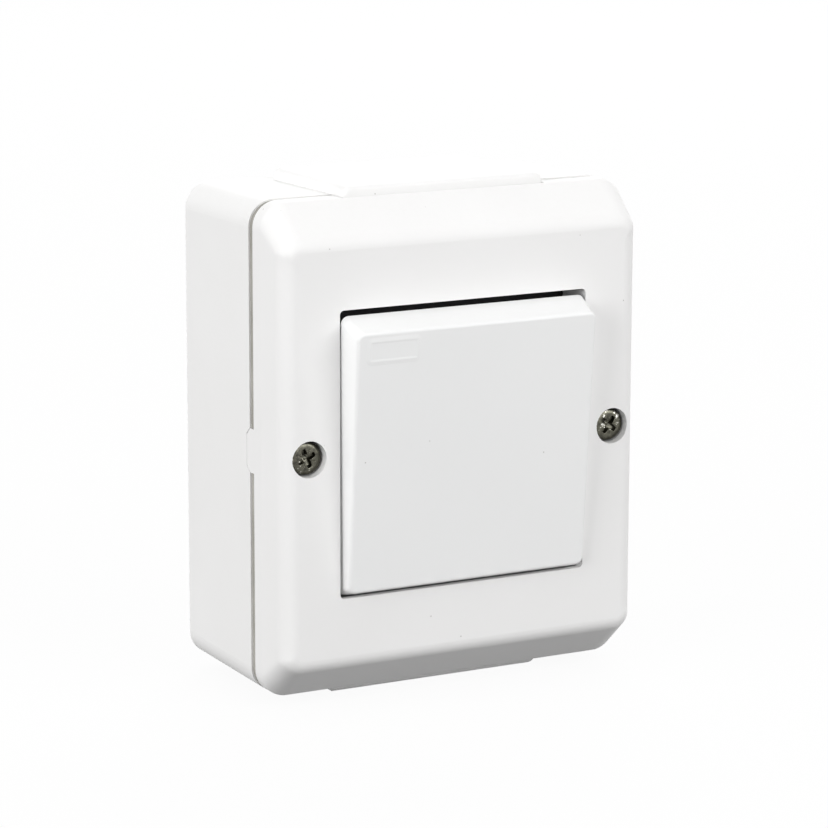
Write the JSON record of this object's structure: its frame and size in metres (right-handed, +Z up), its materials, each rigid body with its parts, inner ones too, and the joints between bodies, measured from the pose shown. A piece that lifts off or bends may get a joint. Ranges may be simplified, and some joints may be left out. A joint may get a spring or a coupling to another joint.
{
  "type": "outdoor weatherproof switch",
  "caption": "Surface-mounted weatherproof rocker switch: back box with conduit pads, seal, bevelled screwed cover, wide tilting rocker, rubber membrane and rocking-contact mechanism.",
  "frame": {"origin": "middle of the box's flat back, which lies on the wall", "axes": "+Z up, +Y into the wall, +X to the right of someone facing the switch, whose front faces -Y"},
  "size_m": [0.07, 0.0422, 0.0887],
  "materials": {
    "housing_white": "fine satin",
    "cover_white": "fine satin",
    "rocker_white": "satin",
    "gasket_grey": "matt",
    "grommet_grey": "matt",
    "membrane_black": "matt",
    "seal_black": "matt",
    "inner_grey": "moulded",
    "mechanism_grey": "moulded",
    "plunger_white": "moulded",
    "spring_steel": "drawn wire",
    "screw_steel": "dark nickel",
    "zinc_steel": "zinc plated",
    "insert_brass": "turned",
    "strip_brass": "stamped",
    "contact_silver": "silver rivets"
  },
  "bodies": {
    "case": {"base_box": "housing_white", "cover_gasket": "gasket_grey", "front_cover": "cover_white", "window_membrane": "membrane_black", "membrane_frame": "inner_grey", "frame_screws": "zinc_steel", "cover_screws": "screw_steel", "screw_seals": "seal_black", "threaded_inserts": "insert_brass", "entry_grommet": "grommet_grey", "mechanism_housing": "mechanism_grey", "chamber_lid": "mechanism_grey", "mechanism_screws": "zinc_steel", "common_terminal": "strip_brass", "upper_terminal": "strip_brass", "lower_terminal": "strip_brass", "fixed_contacts": "contact_silver", "clamp_plates": "zinc_steel", "terminal_screws": "zinc_steel", "earth_terminal": "insert_brass", "earth_screws": "zinc_steel"},
    "rocker": {"rocker_key": "rocker_white", "rocker_cradle": "inner_grey", "plunger_spring": "spring_steel"},
    "plunger": {"plunger": "plunger_white"},
    "blade": {"contact_blade": "strip_brass", "moving_contacts": "contact_silver"}
  },
  "joints": [
    {"name": "rocker_hinge", "type": "hinge", "parent": "case", "child": "rocker", "pos_m": [0, -0.0266, 0], "axis": [-1, 0, 0], "range_deg": [0, 9.24]},
    {"name": "plunger_slide", "type": "slide", "parent": "rocker", "child": "plunger", "axis": [0, -0.9968, -0.0805], "range_m": [0, 0.0015], "stiffness_N_per_m": 300, "springref_m": -0.002, "deforming": ["plunger_spring"]},
    {"name": "blade_hinge", "type": "hinge", "parent": "case", "child": "blade", "pos_m": [0, -0.01375, 0], "axis": [1, 0, 0], "range_deg": [0, 13]}
  ],
  "couplings": [
    {"joint": "blade_hinge", "follows": "rocker_hinge", "ratio": 1.4069}
  ]
}
